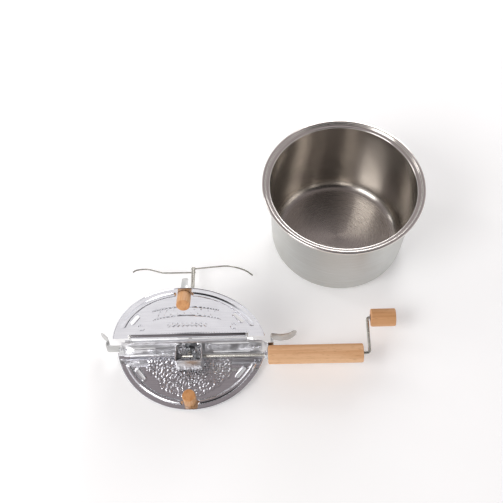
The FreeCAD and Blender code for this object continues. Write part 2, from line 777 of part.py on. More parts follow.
def build():
    lid = lid_frame()
    low_arm, high_arm = arm_heights()
    fixed = {
        "crossbar": crossbar(), "hinge_wires": hinge_wires(), "gear_bracket": gear_bracket(),
        "bracket_rivets": bracket_rivets(), "crank_bushings": crank_bushings(),
        "rod_bushing": rod_bushing(), "handle": handle(), "handle_tube": handle_tube(),
        "tube_nut": tube_nut(), "handle_clip": handle_clip(), "far_clip": far_clip(),
        "clip_rivets": clip_rivet_set(), "crank_rod": crank_rod(), "crank_gear": crank_gear(),
        "crank_gear_pin": crank_gear_pin(), "crank_collar": crank_collar(),
        "knob_washers": knob_washers(), "crank_knob": crank_knob(), "stir_rod": stir_rod(),
        "stir_gear": stir_gear(), "stir_collar": stir_collar(),
        "long_stir_wire": stir_wire(1, low_arm, long_arm_bends),
        "short_stir_wire": stir_wire(-1, high_arm, short_arm_bends),
    }
    upper = {
        "upper_half_lid": half_lid(), "upper_lid_knob": lid_knob(),
        "upper_knob_screw": knob_screw(tab_sheet), "guide_tab": guide_tab(),
    }
    lower = {
        "lower_half_lid": half_lid(), "lower_lid_knob": lid_knob(), "lower_knob_screw": knob_screw(0.0),
    }
    nodes = {"pot_body": pot_body()}
    nodes.update({name: placed(shape, lid) for name, shape in fixed.items()})
    nodes.update({name: placed(shape, leaf_frame(1), lid) for name, shape in upper.items()})
    nodes.update({name: placed(shape, leaf_frame(-1), lid) for name, shape in lower.items()})
    return nodes


for name, shape in build().items():
    shape.exportStep("parts/" + name + ".step")
    print(name, len(shape.Solids), "solid(s)", "valid" if shape.isValid() else "NOT VALID",
          "lowest", round(shape.BoundBox.ZMin, 2))
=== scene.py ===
# Popcorn maker: a steel pot, and beside it the two-leaf lid with crank, gears and stirrer.
# Lengths in the dictionaries are millimetres; everything in the scene is metres.
import bpy
import json
import math
from mathutils import Matrix, Vector, noise


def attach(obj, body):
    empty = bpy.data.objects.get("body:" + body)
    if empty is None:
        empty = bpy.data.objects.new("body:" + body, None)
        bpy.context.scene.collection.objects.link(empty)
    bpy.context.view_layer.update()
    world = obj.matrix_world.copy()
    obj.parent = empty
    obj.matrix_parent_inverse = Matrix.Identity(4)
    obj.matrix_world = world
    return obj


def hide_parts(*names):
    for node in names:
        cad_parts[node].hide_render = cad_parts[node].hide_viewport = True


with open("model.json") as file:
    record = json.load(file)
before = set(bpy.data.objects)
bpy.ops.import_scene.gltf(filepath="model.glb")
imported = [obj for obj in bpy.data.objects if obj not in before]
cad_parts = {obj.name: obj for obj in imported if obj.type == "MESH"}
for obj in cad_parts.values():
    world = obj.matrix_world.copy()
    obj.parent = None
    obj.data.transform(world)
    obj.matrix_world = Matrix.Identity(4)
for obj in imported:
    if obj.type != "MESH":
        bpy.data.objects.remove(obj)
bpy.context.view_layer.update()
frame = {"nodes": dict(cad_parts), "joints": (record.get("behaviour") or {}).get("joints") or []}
joints = {joint["name"]: joint for joint in frame["joints"]}
print("frame loaded,", len(frame["nodes"]), "nodes")


sameSpot = 1e-6    # metres: vertices nearer than this are merged


def metres(value):
    return value / 1000.0


def deselectAll():
    if bpy.context.object and bpy.context.object.mode != "OBJECT":
        bpy.ops.object.mode_set(mode="OBJECT")
    bpy.ops.object.select_all(action="DESELECT")


def makeActive(piece):
    deselectAll()
    piece.select_set(True)
    bpy.context.view_layer.objects.active = piece


def startEdit(piece, everything=True, mode="VERT"):
    makeActive(piece)
    bpy.ops.object.mode_set(mode="EDIT")
    bpy.ops.mesh.select_mode(type=mode)
    bpy.ops.mesh.select_all(action="SELECT" if everything else "DESELECT")


def finishEdit():
    bpy.ops.object.mode_set(mode="OBJECT")


def applyModifier(piece, kind, name, **settings):
    makeActive(piece)
    modifier = piece.modifiers.new(name, kind)
    for key, value in settings.items():
        setattr(modifier, key, value)
    bpy.ops.object.modifier_apply(modifier=name)


def softenEdges(piece, width, segments=2, angle=35.0):
    applyModifier(piece, "BEVEL", "softEdges", width=metres(width), segments=segments,
                  limit_method="ANGLE", angle_limit=math.radians(angle), use_clamp_overlap=True)


def arcPoints(centre, radius, start, end, steps):
    points = []
    for i in range(steps + 1):
        angle = math.radians(start + (end - start) * i / steps)
        points.append((centre[0] + radius * math.cos(angle), centre[1] + radius * math.sin(angle)))
    return points


def roundedPath(corners, radii, steps=8):
    # straight runs joined by arcs; corners are vectors in mm
    path = [corners[0]]
    for i in range(1, len(corners) - 1):
        toward = (corners[i - 1] - corners[i]).normalized()
        away = (corners[i + 1] - corners[i]).normalized()
        half = toward.angle(away) / 2.0
        middle = (toward + away).normalized()
        centre = corners[i] + middle * (radii[i - 1] / math.sin(half))
        start = corners[i] + toward * (radii[i - 1] / math.tan(half)) - centre
        end = corners[i] + away * (radii[i - 1] / math.tan(half)) - centre
        for k in range(steps + 1):
            path.append(centre + start.slerp(end, k / steps) * radii[i - 1])
    path.append(corners[-1])
    return path


def drawLine(name, points):
    # a single vertex extruded from point to point, given in mm; stays in edit mode, all selected
    deselectAll()
    bpy.ops.mesh.primitive_plane_add(size=metres(1.0))
    piece = bpy.context.object
    piece.name = name
    piece.data.name = name
    startEdit(piece)
    bpy.ops.mesh.merge(type="CENTER")
    line = [Vector([metres(value) for value in point]) for point in points]
    bpy.ops.transform.translate(value=line[0])
    for before, point in zip(line, line[1:]):
        bpy.ops.mesh.extrude_region_move(TRANSFORM_OT_translate={"value": point - before})
    bpy.ops.mesh.select_all(action="SELECT")
    return piece


def lathe(name, outline, steps=72):
    # an outline of (radius, height) in mm, spun round Z
    piece = drawLine(name, [(radius, 0.0, height) for radius, height in outline])
    bpy.ops.mesh.spin(steps=steps, angle=math.tau, center=(0, 0, 0), axis=(0, 0, 1))
    bpy.ops.mesh.select_all(action="SELECT")
    bpy.ops.mesh.remove_doubles(threshold=sameSpot)
    bpy.ops.mesh.normals_make_consistent(inside=False)
    finishEdit()
    return piece


def wireAlong(name, points, radius, ring=5):
    # round wire that follows points, closed at both ends; points are vectors in mm
    deselectAll()
    bpy.ops.curve.primitive_nurbs_path_add()
    piece = bpy.context.object
    piece.name = name
    curve = piece.data
    curve.splines.clear()
    spline = curve.splines.new("POLY")
    spline.points.add(len(points) - 1)
    for slotPoint, point in zip(spline.points, points):
        slotPoint.co = (metres(point[0]), metres(point[1]), metres(point[2]), 1.0)
    curve.dimensions = "3D"
    curve.bevel_depth = metres(radius)
    curve.bevel_resolution = ring
    curve.use_fill_caps = True
    bpy.ops.object.convert(target="MESH")
    piece = bpy.context.object
    startEdit(piece)
    bpy.ops.mesh.remove_doubles(threshold=sameSpot)
    bpy.ops.mesh.normals_make_consistent(inside=False)
    finishEdit()
    return piece


def smoothThrough(points, steps=10):
    # smooth line through the given points, as a bent wire lies
    line = []
    for i in range(len(points) - 1):
        before = points[max(i - 1, 0)]
        after = points[min(i + 2, len(points) - 1)]
        first, second = points[i], points[i + 1]
        for k in range(steps):
            t = k / steps
            leave = (second - before) * 0.5
            arrive = (after - first) * 0.5
            line.append(first * (2 * t ** 3 - 3 * t ** 2 + 1) + leave * (t ** 3 - 2 * t ** 2 + t)
                        + second * (3 * t ** 2 - 2 * t ** 3) + arrive * (t ** 3 - t ** 2))
    line.append(points[-1])
    return line


def joinPieces(name, pieces):
    makeActive(pieces[0])
    for piece in pieces[1:]:
        piece.select_set(True)
    if len(pieces) > 1:
        bpy.ops.object.join()
    joined = bpy.context.object
    joined.name = name
    joined.data.name = name
    return joined


def movedPiece(piece, turn=None, shift=(0, 0, 0)):
    # turn is a matrix or None, shift is in mm; the result is put into the mesh
    makeActive(piece)
    matrix = Matrix.Translation(Vector(shift) / 1000.0)
    if turn is not None:
        matrix = matrix @ turn
    piece.matrix_world = matrix
    bpy.ops.object.transform_apply(location=True, rotation=True, scale=True)
    return piece


def copyOf(piece, name):
    twin = piece.copy()
    twin.data = piece.data.copy()
    twin.name = name
    twin.data.name = name
    bpy.context.scene.collection.objects.link(twin)
    return twin


def softenedCopy(node, name, width, segments=2, angle=35.0):
    # the stamped or machined part with its edges broken, as tumbling leaves them
    piece = bpy.data.objects.new(name, frame["nodes"][node].data.copy())
    bpy.context.scene.collection.objects.link(piece)
    piece.data.name = name
    startEdit(piece)
    bpy.ops.mesh.remove_doubles(threshold=2.0 * sameSpot)
    bpy.ops.mesh.dissolve_limited(angle_limit=math.radians(1.0))
    finishEdit()
    piece.data.transform(lidMatrix.inverted())
    softenEdges(piece, width, segments, angle)
    return piece


# the lid's own axes: X along the handle, Y towards the upper leaf, Z out of its top

lidLie = {
    "hingeOffset": 26.0,    # hinge lines from the middle of the crossbar
    "upperRest": -18.0,     # degrees from closed; below zero is past closed
    "lowerRest": 83.2,      # folded open
}


def findLidMatrix():
    along = Vector(joints["crank_spin"]["axis"]).normalized()
    outward = Vector(joints["stir_spin"]["axis"]).normalized()
    upward = outward.cross(along)
    turn = Matrix((along, upward, outward)).transposed().to_4x4()
    return Matrix.Translation(Vector(joints["stir_spin"]["pos_m"])) @ turn


lidMatrix = findLidMatrix()
leafMatrices = {
    "upper": lidMatrix
    @ Matrix.Translation((0, metres(lidLie["hingeOffset"]), 0))
    @ Matrix.Rotation(math.radians(lidLie["upperRest"]), 4, "X"),
    "lower": lidMatrix
    @ Matrix.Translation((0, -metres(lidLie["hingeOffset"]), 0))
    @ Matrix.Rotation(-math.radians(lidLie["lowerRest"]), 4, "X")
    @ Matrix.Rotation(math.pi, 4, "Z"),
}
alongX = Matrix.Rotation(math.radians(90.0), 4, "Y")    # turns a piece drawn round Z to lie along X


def settle(piece, name, body, nodes, materials, place=None, smooth=35.0):
    # keeps the drawn coordinates for the materials, then puts the piece in its place in the frame
    makeActive(piece)
    piece.name = name
    piece.data.name = name
    drawn = piece.data.attributes.new("drawnAt", "FLOAT_VECTOR", "POINT")
    drawn.data.foreach_set("vector", [value for vertex in piece.data.vertices for value in vertex.co])
    if place is not None:
        piece.matrix_world = place
        bpy.ops.object.transform_apply(location=True, rotation=True, scale=True)
    bpy.ops.object.shade_smooth_by_angle(angle=math.radians(smooth))
    if materials:
        kept = [polygon.material_index for polygon in piece.data.polygons]
        piece.data.materials.clear()
        for material in materials:
            piece.data.materials.append(material)
        if len(materials) > 1:
            piece.data.polygons.foreach_set("material_index", kept)
    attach(piece, body)
    if nodes:
        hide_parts(*nodes)
    return piece


# materials

def hexColour(code):
    parts = [int(code[i:i + 2], 16) / 255.0 for i in (1, 3, 5)]
    linear = [part / 12.92 if part <= 0.04045 else ((part + 0.055) / 1.055) ** 2.4 for part in parts]
    return linear + [1.0]


def perMetre(*sizes):
    # pattern scales from sizes in mm
    return [1000.0 / size for size in sizes]


def addNode(tree, kind, values=None, feeds=None, **settings):
    made = tree.nodes.new("ShaderNode" + kind)
    for key, value in settings.items():
        setattr(made, key, value)
    for key, value in (values or {}).items():
        made.inputs[key].default_value = value
    for key, source in (feeds or {}).items():
        tree.links.new(source, made.inputs[key])
    return made


def newMaterial(name, **sockets):
    material = bpy.data.materials.new(name)
    material.use_nodes = True
    tree = material.node_tree
    tree.nodes.clear()
    shader = addNode(tree, "BsdfPrincipled")
    for key, value in sockets.items():
        shader.inputs[key.replace("_", " ")].default_value = value
    addNode(tree, "OutputMaterial", feeds={"Surface": shader.outputs["BSDF"]})
    return material, tree, shader


def ramp(tree, source, stops):
    made = addNode(tree, "ValToRGB", feeds={"Fac": source})
    elements = made.color_ramp.elements
    while len(elements) < len(stops):
        elements.new(0.5)
    for element, (position, colour) in zip(elements, stops):
        element.position = position
        element.color = hexColour(colour) if isinstance(colour, str) else [colour] * 3 + [1.0]
    return made


def brushedMetal(name, light, dark, grain, rough, bump, sway=0.0):
    # grain is the length of the marks along x, y and z in mm, rough the lowest and highest roughness;
    # sway is how far in mm the sheet is out of flat, which bends its reflections slowly
    material, tree, shader = newMaterial(name, Metallic=1.0)
    place = addNode(tree, "Attribute", attribute_name="drawnAt").outputs["Vector"]
    mapped = addNode(tree, "Mapping", {"Scale": perMetre(*grain)}, {"Vector": place})
    marks = addNode(tree, "TexNoise", {"Scale": 1.0, "Detail": 3.0, "Roughness": 0.6},
                    {"Vector": mapped.outputs["Vector"]})
    # soft clouds about 36 mm across
    cloud = addNode(tree, "TexNoise", {"Scale": 28.0, "Detail": 2.0}, {"Vector": place})
    both = addNode(tree, "Mix", {"Factor": 0.4},
                   {"A": marks.outputs["Fac"], "B": cloud.outputs["Fac"]})
    tone = ramp(tree, both.outputs["Result"], [(0.35, dark), (0.65, light)])
    gloss = addNode(tree, "MapRange", {"From Min": 0.3, "From Max": 0.7,
                                       "To Min": rough[0], "To Max": rough[1]},
                    {"Value": both.outputs["Result"]})
    relief = addNode(tree, "Bump", {"Strength": bump, "Distance": metres(0.2)},
                     {"Height": marks.outputs["Fac"]})
    if sway > 0.0:
        long = addNode(tree, "Mapping", {"Scale": perMetre(62.5, 11.11, 16.67)}, {"Vector": place})
        waves = addNode(tree, "TexNoise", {"Scale": 1.0, "Detail": 1.0},
                        {"Vector": long.outputs["Vector"]})
        relief = addNode(tree, "Bump", {"Strength": 1.0, "Distance": metres(sway)},
                         {"Height": waves.outputs["Fac"], "Normal": relief.outputs["Normal"]})
    tree.links.new(tone.outputs["Color"], shader.inputs["Base Color"])
    tree.links.new(gloss.outputs["Result"], shader.inputs["Roughness"])
    tree.links.new(relief.outputs["Normal"], shader.inputs["Normal"])
    return material


def turnedSteel(name, light, dark, rough, ring, anisotropic, bump):
    # stainless brushed round the pot's axis: fine rings, so highlights stretch across them;
    # ring is the spacing in mm, wider than real brush lines so that they show
    material, tree, shader = newMaterial(name, Metallic=1.0, Anisotropic=anisotropic,
                                         Anisotropic_Rotation=0.25)
    place = addNode(tree, "TexCoord").outputs["Object"]
    parts = addNode(tree, "SeparateXYZ", feeds={"Vector": place})
    squareX = addNode(tree, "Math", {1: 2.0}, {0: parts.outputs["X"]}, operation="POWER")
    squareY = addNode(tree, "Math", {1: 2.0}, {0: parts.outputs["Y"]}, operation="POWER")
    total = addNode(tree, "Math", feeds={0: squareX.outputs[0], 1: squareY.outputs[0]}, operation="ADD")
    radius = addNode(tree, "Math", feeds={0: total.outputs[0]}, operation="SQRT")
    around = addNode(tree, "Math", feeds={0: parts.outputs["Y"], 1: parts.outputs["X"]},
                     operation="ARCTAN2")
    combined = addNode(tree, "CombineXYZ", feeds={"X": around.outputs[0], "Y": radius.outputs[0],
                                                  "Z": parts.outputs["Z"]})
    alongRing = 2.5    # marks to a radian
    mapped = addNode(tree, "Mapping", {"Scale": [alongRing] + perMetre(ring, ring)},
                     {"Vector": combined.outputs[0]})
    rings = addNode(tree, "TexNoise", {"Scale": 1.0, "Detail": 4.0, "Roughness": 0.65},
                    {"Vector": mapped.outputs["Vector"]})
    # soft clouds about 90 mm across
    cloud = addNode(tree, "TexNoise", {"Scale": 11.0, "Detail": 2.0}, {"Vector": place})
    both = addNode(tree, "Mix", {"Factor": 0.35},
                   {"A": rings.outputs["Fac"], "B": cloud.outputs["Fac"]})
    tone = ramp(tree, both.outputs["Result"], [(0.38, dark), (0.62, light)])
    gloss = addNode(tree, "MapRange", {"From Min": 0.3, "From Max": 0.7,
                                       "To Min": rough[0], "To Max": rough[1]},
                    {"Value": both.outputs["Result"]})
    relief = addNode(tree, "Bump", {"Strength": bump, "Distance": metres(0.1)},
                     {"Height": rings.outputs["Fac"]})
    tangent = addNode(tree, "Tangent", direction_type="RADIAL", axis="Z")
    tree.links.new(tone.outputs["Color"], shader.inputs["Base Color"])
    tree.links.new(gloss.outputs["Result"], shader.inputs["Roughness"])
    tree.links.new(relief.outputs["Normal"], shader.inputs["Normal"])
    tree.links.new(tangent.outputs["Tangent"], shader.inputs["Tangent"])
    return material


def beech(name, pale, deep, fleck, shift):
    # beech turned on a lathe, sanded and thinly sealed: soft growth bands and short flecks along Z;
    # shift moves the pattern so that no two pieces are cut from the same spot
    material, tree, shader = newMaterial(name, IOR=1.5, Coat_Weight=0.12, Coat_Roughness=0.35)
    place = addNode(tree, "Attribute", attribute_name="drawnAt").outputs["Vector"]
    bandSize = perMetre(5.263, 12.5, 200.0)
    fleckSize = perMetre(1.5625, 1.5625, 9.524)    # coarser than real flecks, so that they show
    bands = addNode(tree, "Mapping", {"Location": (shift, shift * 2.0, 0.0), "Scale": bandSize},
                    {"Vector": place})
    growth = addNode(tree, "TexNoise", {"Scale": 1.0, "Detail": 4.0, "Distortion": 0.4},
                     {"Vector": bands.outputs["Vector"]})
    short = addNode(tree, "Mapping", {"Location": (0.0, shift, 0.0), "Scale": fleckSize},
                    {"Vector": place})
    flecks = addNode(tree, "TexNoise", {"Scale": 1.0, "Detail": 1.0},
                     {"Vector": short.outputs["Vector"]})
    tone = ramp(tree, growth.outputs["Fac"], [(0.36, deep), (0.6, pale)])
    spots = ramp(tree, flecks.outputs["Fac"], [(0.58, 0.0), (0.72, 0.4)])
    colour = addNode(tree, "Mix", feeds={"Factor": spots.outputs["Color"]}, data_type="RGBA")
    tree.links.new(tone.outputs["Color"], colour.inputs["A"])
    colour.inputs["B"].default_value = hexColour(fleck)
    gloss = addNode(tree, "MapRange", {"To Min": 0.42, "To Max": 0.6}, {"Value": growth.outputs["Fac"]})
    relief = addNode(tree, "Bump", {"Strength": 0.25, "Distance": metres(0.3)},
                     {"Height": flecks.outputs["Fac"]})
    tree.links.new(colour.outputs["Result"], shader.inputs["Base Color"])
    tree.links.new(gloss.outputs["Result"], shader.inputs["Roughness"])
    tree.links.new(relief.outputs["Normal"], shader.inputs["Normal"])
    return material


finish = {
    # satin stainless, brushed round on a lathe with a coarse pad
    "potOutside": turnedSteel("satinStainlessOutside", "#cfd0ce", "#bfbeb9",
                              (0.32, 0.42), 0.9, 0.5, 0.06),
    # stainless wall as drawn and brushed inside, smoother, so tall soft streaks show
    "potInside": turnedSteel("brushedStainlessInside", "#c3beb8", "#b3ada6",
                             (0.2, 0.28), 0.8, 0.8, 0.05),
    # spun stainless bottom: rings round the centre give fans of light
    "potFloor": turnedSteel("spunStainlessBottom", "#d6d0ca", "#c6c0b9",
                            (0.24, 0.32), 0.8, 0.85, 0.04),
    # polished stainless bead of the rolled rim
    "potRim": turnedSteel("polishedStainlessRim", "#dedad6", "#cfcac5",
                          (0.1, 0.16), 1.5, 0.6, 0.03),
    # rolled aluminium sheet, buffed bright, with faint marks along the rolling direction
    "leafSheet": brushedMetal("buffedAluminiumSheet", "#e4e4e8", "#d4d4d9",
                              (46.0, 1.4, 1.4), (0.07, 0.13), 0.05, 0.05),
    # steel strip, zinc plated bright, slightly cloudy and not quite flat
    "zincPlate": brushedMetal("brightZincPlatedSteel", "#e0e1e4", "#c9cbd0",
                              (9.0, 3.0, 3.0), (0.15, 0.22), 0.05, 0.2),
    # heavier strip with a duller, whiter zinc coat
    "zincStrip": brushedMetal("satinZincPlatedStrip", "#f2f2f2", "#dddee0",
                              (12.0, 2.0, 2.0), (0.26, 0.36), 0.05, 0.15),
    # spring steel strip with a satin rolled surface
    "springStrip": brushedMetal("satinSpringSteel", "#d6d6d4", "#bebfbe",
                                (14.0, 1.0, 1.0), (0.24, 0.36), 0.1),
    # cold-drawn wire, drawing lines along it
    "drawnWire": brushedMetal("drawnSteelWire", "#c9c7c0", "#a9a69e",
                              (30.0, 0.9, 0.9), (0.2, 0.32), 0.12),
    # stamped and machined gear steel, tumbled until its edges and shine are dull
    "gearSteel": brushedMetal("tumbledGearSteel", "#bfc0c2", "#8f9194",
                              (2.0, 2.0, 2.0), (0.24, 0.4), 0.2),
    # beech sanded round, sealed thin, so it keeps a soft sheen and its pale orange
    "beechHandle": beech("sealedBeechHandle", "#ebbb8e", "#d69c68", "#c08754", 0.0),
    "beechCrank": beech("sealedBeechCrankGrip", "#e0aa78", "#d29864", "#b8824f", 0.7),
    "beechKnob": beech("sealedBeechKnob", "#e0b07e", "#d09965", "#b07d4c", 1.9),
    # cut ends drink more sealer, so they turn a deeper orange
    "beechEnd": beech("sealedBeechCutEnd", "#dfa36a", "#cd8c53", "#b37842", 3.1),
}
print("materials ready")


# the pot

pot = {
    "mouthR": 115.4, "height": 151.0, "wall": 1.0, "draft": 7.8, "cornerR": 18.4,
    "ledgeWidth": 5.6, "ledgeDrop": 4.5, "rimWidth": 6.0, "rimBend": 1.5,
    "curlDrop": 4.0, "curlEnd": 2.3, "curlBend": 1.3,
    "steps": 176, "bendSteps": 7, "floorRings": (12.0, 30.0, 55.0, 76.0), "wallRing": 14.0,
    "polishDrop": 7.1,      # the polish reaches this far below the top
    "floorHeight": 30.0,    # no floor or corner above this
    "flatFloor": 0.985, "inwardSlope": 0.3,    # how upright the normals of the floor and the corner are
}


def makePot():
    half = pot["wall"] / 2.0
    ledgeZ = pot["height"] - pot["ledgeDrop"] - half
    ledgeR = pot["mouthR"] + pot["ledgeWidth"] + half
    rimR = pot["mouthR"] + pot["ledgeWidth"] + pot["rimWidth"] - half
    topZ = pot["height"] - half
    corners = [
        (0.0, half), (pot["mouthR"] - pot["draft"] - half, half), (pot["mouthR"] - half, ledgeZ),
        (ledgeR, ledgeZ), (ledgeR, topZ), (rimR, topZ), (rimR, pot["height"] - pot["curlDrop"]),
        (ledgeR + pot["curlEnd"], pot["height"] - pot["curlDrop"]),
    ]
    radii = [pot["cornerR"] - half] + [pot["rimBend"]] * 4 + [pot["curlBend"]]
    path = roundedPath([Vector((r, 0.0, z)) for r, z in corners], radii, pot["bendSteps"])
    outline = [(0.0, half)] + [(r, half) for r in pot["floorRings"]]
    wallStart = len(outline)
    outline += [(point.x, point.z) for point in path[1:]]
    # a few more rings up the long straight wall
    dense = [outline[0]]
    for first, second in zip(outline, outline[1:]):
        gap = math.dist(first, second)
        extra = int(gap // pot["wallRing"]) if len(dense) >= wallStart else 0
        for k in range(1, extra + 1):
            t = k / (extra + 1)
            dense.append((first[0] + (second[0] - first[0]) * t, first[1] + (second[1] - first[1]) * t))
        dense.append(second)
    piece = lathe("potShell", dense, pot["steps"])
    applyModifier(piece, "SOLIDIFY", "sheet", thickness=metres(pot["wall"]), offset=0.0,
                  use_even_offset=True)
    surfaces = ["potOutside", "potInside", "potFloor", "potRim"]
    for polygon in piece.data.polygons:
        centre, normal = polygon.center, polygon.normal
        inner = normal.dot(Vector((centre.x, centre.y, 0.0))) < 0.0
        inner = inner or (normal.z > pot["inwardSlope"] and centre.z < metres(pot["floorHeight"]))
        surface = "potInside" if inner else "potOutside"
        if inner and normal.z > pot["flatFloor"]:
            surface = "potFloor"
        if centre.z > metres(pot["height"] - pot["polishDrop"]):
            surface = "potRim"
        polygon.material_index = surfaces.index(surface)
    settle(piece, "potShell", "pot", ["pot_body"],
           [finish[surface] for surface in surfaces], smooth=40.0)
    print("pot made")


makePot()


# the two leaves of the lid, drawn closed: hinge line on X, rim towards +Y

leaf = {
    "edgeR": 118.0, "sheet": 0.8,
    # straight edge: the sheet ends at cut beside the barrel and at wing beyond it
    "cut": 4.2, "wing": -2.6, "wingX": 92.0,
    "hemR": 0.9, "hemDrop": 0.1, "hemStart": 0.4, "hemSteps": 120,
    # barrel: two points that lead into the roll, then its turn in degrees
    "barrelHalf": 86.5, "wireR": 2.4, "wireFit": 0.06,
    "rollLead": [(0.6, 0.0), (-0.4, 0.35)], "rollFrom": 38.0, "rollTo": 348.0, "rollSteps": 30,
    # bead, and where it rises beside the knob and above the hinge
    "beadR": 107.0, "beadWidth": 7.2, "beadHeight": 1.8, "beadShape": 0.8,
    "beadGap": (11.0, 14.5), "beadEnd": (17.0, 21.0),
    "ventReach": 98.0, "ventAngle": 38.0, "ventLength": 21.0, "ventWidth": 5.0, "ventPunch": 12.0,
    "ventShoulder": 0.3, "ventLip": 2.4, "ventRaise": 0.8,
    # grid: rows end just short of the rim's top, where they would meet
    "columns": 250, "rows": 112, "lowRows": 7, "topAngle": 89.2,
}


def smoothStep(low, high, value):
    t = max(0.0, min(1.0, (value - low) / (high - low)))
    return t * t * (3.0 - 2.0 * t)


def leafGrid(name):
    # a grid pulled into a half disc: rows keep to the hinge's direction, ends follow the rim
    deselectAll()
    rows = leaf["rows"] + leaf["lowRows"]
    bpy.ops.mesh.primitive_grid_add(x_subdivisions=leaf["columns"], y_subdivisions=rows, size=2.0)
    piece = bpy.context.object
    piece.name = name
    offset = lidLie["hingeOffset"]
    radius = leaf["edgeR"] - leaf["hemR"]
    first = math.asin((leaf["cut"] + offset) / radius)
    last = math.radians(leaf["topAngle"])
    for vertex in piece.data.vertices:
        row = round((vertex.co.y + 1.0) / 2.0 * rows)
        if row <= leaf["lowRows"]:
            y = leaf["wing"] + (leaf["cut"] - leaf["wing"]) * row / leaf["lowRows"]
        else:
            turn = first + (last - first) * (row - leaf["lowRows"]) / leaf["rows"]
            y = radius * math.sin(turn) - offset
        chord = math.sqrt(max(radius ** 2 - (y + offset) ** 2, 0.0))
        vertex.co = (metres(vertex.co.x * chord), metres(y), 0.0)
    startEdit(piece, everything=False, mode="FACE")    # nothing selected, and faces are picked
    finishEdit()
    for polygon in piece.data.polygons:
        # the strip that makes way for the barrel
        besideBarrel = abs(polygon.center.x) < metres(leaf["wingX"])
        polygon.select = besideBarrel and polygon.center.y < metres(leaf["cut"] - 0.01)
    bpy.ops.object.mode_set(mode="EDIT")
    bpy.ops.mesh.delete(type="FACE")
    finishEdit()
    return piece


def beadLift(x, y):
    # the raised bead follows the rim and stops at the knob and short of the hinge
    reach = math.hypot(x, y + lidLie["hingeOffset"])
    across = abs(reach - leaf["beadR"]) / (leaf["beadWidth"] / 2.0)
    if across >= 1.0:
        return 0.0
    ends = smoothStep(*leaf["beadGap"], abs(x))
    ends *= smoothStep(*leaf["beadEnd"], y)
    return leaf["beadHeight"] * (1.0 - across ** 2) ** leaf["beadShape"] * ends


corn = {
    "halfWidth": 68.0, "reach": 72.0, "middle": 14.0, "hingeFade": (4.6, 6.6),
    "wobble": 9.0, "wobblePace": 0.055,    # how far the field's edge wanders, and its turns to a mm
    "lump": 4.2, "lumpR": 0.62, "height": 1.0,    # lumpR is a part of lump
    "uneven": 0.3,
}


def cornLift(x, y):
    # pressed pattern of round lumps with an uneven edge
    wobble = noise.noise(Vector((x * corn["wobblePace"], y * corn["wobblePace"], 3.0))) * corn["wobble"]
    fromMiddle = max(y - corn["middle"], 0.0) / (corn["reach"] - corn["middle"])
    edge = math.hypot(x / corn["halfWidth"], fromMiddle)
    inside = smoothStep(1.0, 0.94, edge + wobble / corn["halfWidth"])
    inside *= smoothStep(*corn["hingeFade"], y)
    if inside <= 0.0:
        return 0.0
    spread, points = noise.voronoi(Vector((x / corn["lump"], y / corn["lump"], 1.5)))
    dome = max(0.0, 1.0 - (spread[0] / corn["lumpR"]) ** 2)
    size = 0.85 + corn["uneven"] * noise.noise(points[0] * 3.1)
    return corn["height"] * dome * inside * size


banner = {
    "half": 50.0, "low": 33.0, "high": 49.0, "sag": 8.0, "line": 1.3, "height": 0.7,
    "waveInset": 6.0, "waveHeight": 4.2, "wavePace": 0.62, "waveTop": 0.9,
    "lozengeStep": 7.0, "lozengeRow": 19.0, "lozengeHalf": 30.0, "lozengeSag": 0.6,
    "lozengeX": 3.4, "lozengeY": 4.2, "lozengeRing": 0.75, "lozengeLine": 0.42,
    "dashStep": 4.0, "dashRow": 7.4, "dashHalf": 92.0, "dashTop": 1.3, "dashLong": 1.4,
    "ringX": 70.0, "ringY": 18.0, "ringR": 5.0,
}


def fromNearest(x, step):
    # distance to the nearest of marks that are step apart
    return (x + step / 2.0) % step - step / 2.0


def bannerLift(x, y):
    # pressed lines: a plain arched band with a wave in it, lozenges under it, dashes, two rings
    arch = banner["sag"] * (1.0 - (x / banner["half"]) ** 2)
    low, high = banner["low"] + arch, banner["high"] + arch
    lift = 0.0
    if abs(x) <= banner["half"] + banner["line"]:
        for level in (low, high):
            lift = max(lift, 1.0 - abs(y - level) / banner["line"])
    if low - banner["line"] < y < high + banner["line"]:
        lift = max(lift, 1.0 - abs(abs(x) - banner["half"]) / banner["line"])
    if abs(x) < banner["half"] - banner["waveInset"]:
        wave = (low + high) / 2.0 + banner["waveHeight"] * math.sin(x * banner["wavePace"])
        lift = max(lift, banner["waveTop"] - abs(y - wave) / banner["line"])
    if abs(x) < banner["lozengeHalf"]:
        near = abs(fromNearest(x, banner["lozengeStep"])) / banner["lozengeX"]
        over = abs(y - banner["lozengeRow"] - arch * banner["lozengeSag"]) / banner["lozengeY"]
        lift = max(lift, 1.0 - abs(near + over - banner["lozengeRing"]) / banner["lozengeLine"])
    if abs(x) < banner["dashHalf"]:
        near = fromNearest(x, banner["dashStep"])
        over = (y - banner["dashRow"]) / banner["dashLong"]
        lift = max(lift, banner["dashTop"] - math.hypot(near, over))
    for centre in (-banner["ringX"], banner["ringX"]):
        ring = math.hypot(x - centre, y - banner["ringY"])
        lift = max(lift, 1.0 - abs(ring - banner["ringR"]) / banner["line"])
    return banner["height"] * smoothStep(0.0, 1.0, lift)


def ventPlace():
    # the right vent's turn and middle
    angle = math.radians(leaf["ventAngle"])
    reach = leaf["ventReach"]
    return angle, reach * math.cos(angle), reach * math.sin(angle) - lidLie["hingeOffset"]


def ventLift(x, y):
    # drawn-up lip round each oval vent
    angle, middleX, middleY = ventPlace()
    shift = (abs(x) - middleX, y - middleY)
    along = shift[0] * math.sin(angle) - shift[1] * math.cos(angle)
    across = shift[0] * math.cos(angle) + shift[1] * math.sin(angle)
    straight = (leaf["ventLength"] - leaf["ventWidth"]) / 2.0
    gap = math.hypot(max(abs(along) - straight, 0.0), across) - leaf["ventWidth"] / 2.0
    return leaf["ventRaise"] * smoothStep(leaf["ventLip"], leaf["ventShoulder"], gap)


